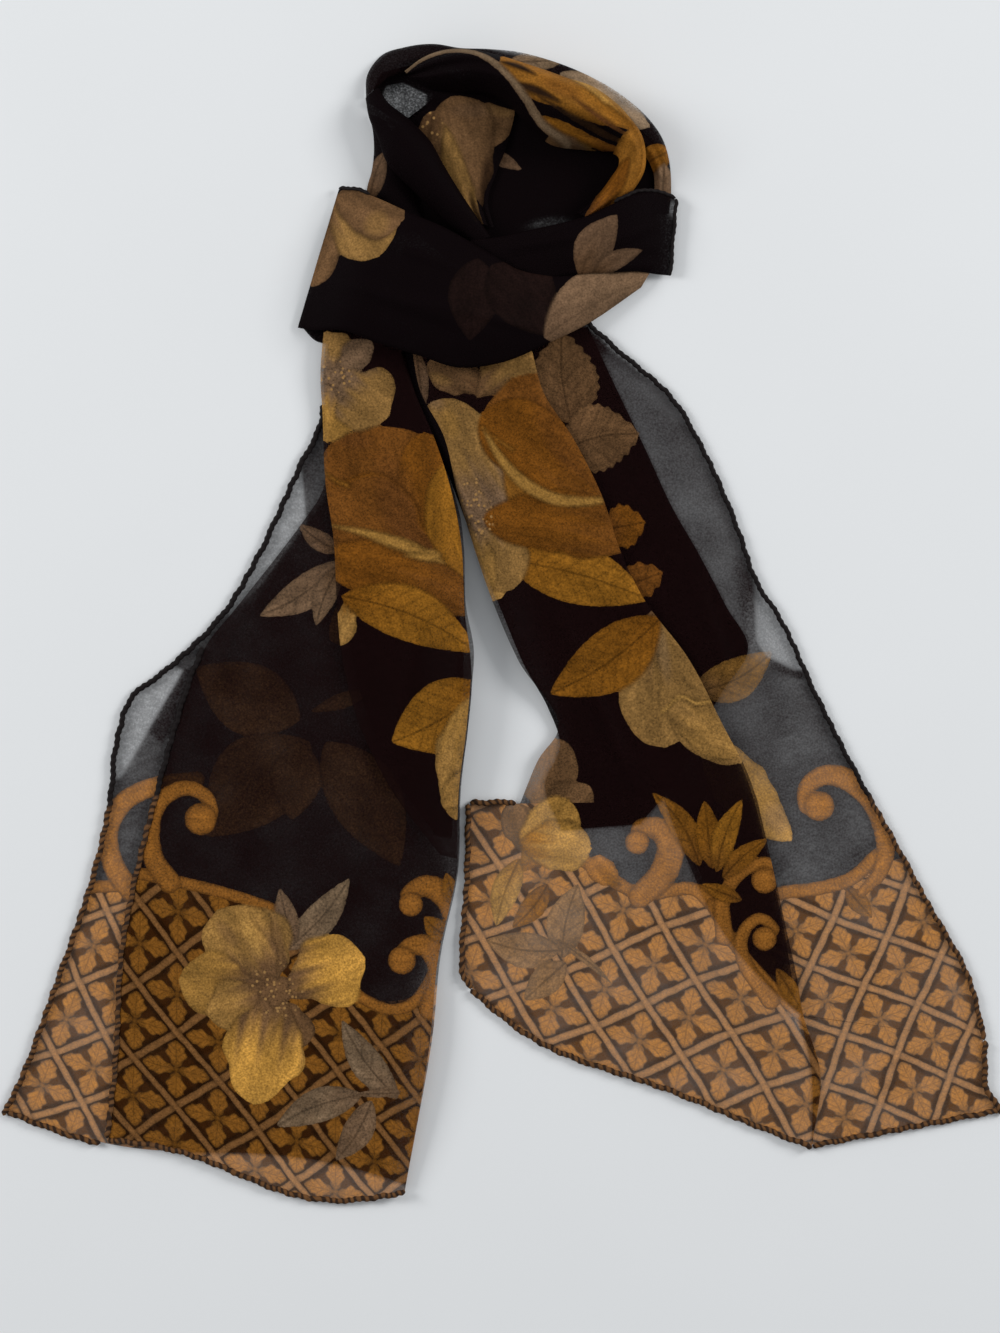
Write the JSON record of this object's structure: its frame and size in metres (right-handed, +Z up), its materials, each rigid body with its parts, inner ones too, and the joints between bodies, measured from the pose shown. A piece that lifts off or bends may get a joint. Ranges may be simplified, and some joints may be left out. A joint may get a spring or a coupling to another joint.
{
  "type": "chiffon scarf",
  "caption": "Sheer oblong printed chiffon scarf, doubled and looped through its own fold into a neck ring with two tails, lying flat.",
  "frame": {"origin": "under the middle of the laid scarf's bounding box, on the surface it lies on", "axes": "+Z up off the surface, +Y from the tails' ends towards the neck ring, +X to the right seen from above with the ring at the top"},
  "size_m": [0.4553, 0.5301, 0.028],
  "materials": {
    "printed_chiffon": "sheer dark brown-black crepe chiffon printed with golden blooms, tan leaves and a trellis border",
    "rolled_hem": "narrow hand-rolled chiffon hem, whipped at short intervals"
  },
  "bodies": {
    "root": {"loop_back": "printed_chiffon", "left_tail_under": "printed_chiffon", "left_tail_over": "printed_chiffon", "left_tail_pleat": "printed_chiffon", "left_tail_panel": "printed_chiffon", "right_tail_turned": "printed_chiffon", "right_tail_back": "printed_chiffon", "right_tail_corner": "printed_chiffon", "right_tail_pleat": "printed_chiffon", "right_tail_front": "printed_chiffon", "right_tail_end": "printed_chiffon", "ring_floor": "printed_chiffon", "ring_outer": "printed_chiffon", "ring_left": "printed_chiffon", "ring_inside": "printed_chiffon", "ring_diagonal": "printed_chiffon", "ring_back": "printed_chiffon", "cross_band": "printed_chiffon", "front_band": "printed_chiffon", "wrap_core": "printed_chiffon", "hem_left_under_side": "rolled_hem", "hem_left_under_end": "rolled_hem", "hem_left_over_side": "rolled_hem", "hem_left_over_end": "rolled_hem", "hem_right_side": "rolled_hem", "hem_right_corner": "rolled_hem", "hem_right_corner_end": "rolled_hem", "hem_right_end": "rolled_hem", "hem_right_end_side": "rolled_hem", "hem_right_end_top": "rolled_hem", "hem_front_band": "rolled_hem", "hem_cross_band_top": "rolled_hem", "hem_cross_band_end": "rolled_hem"}
  },
  "joints": []
}
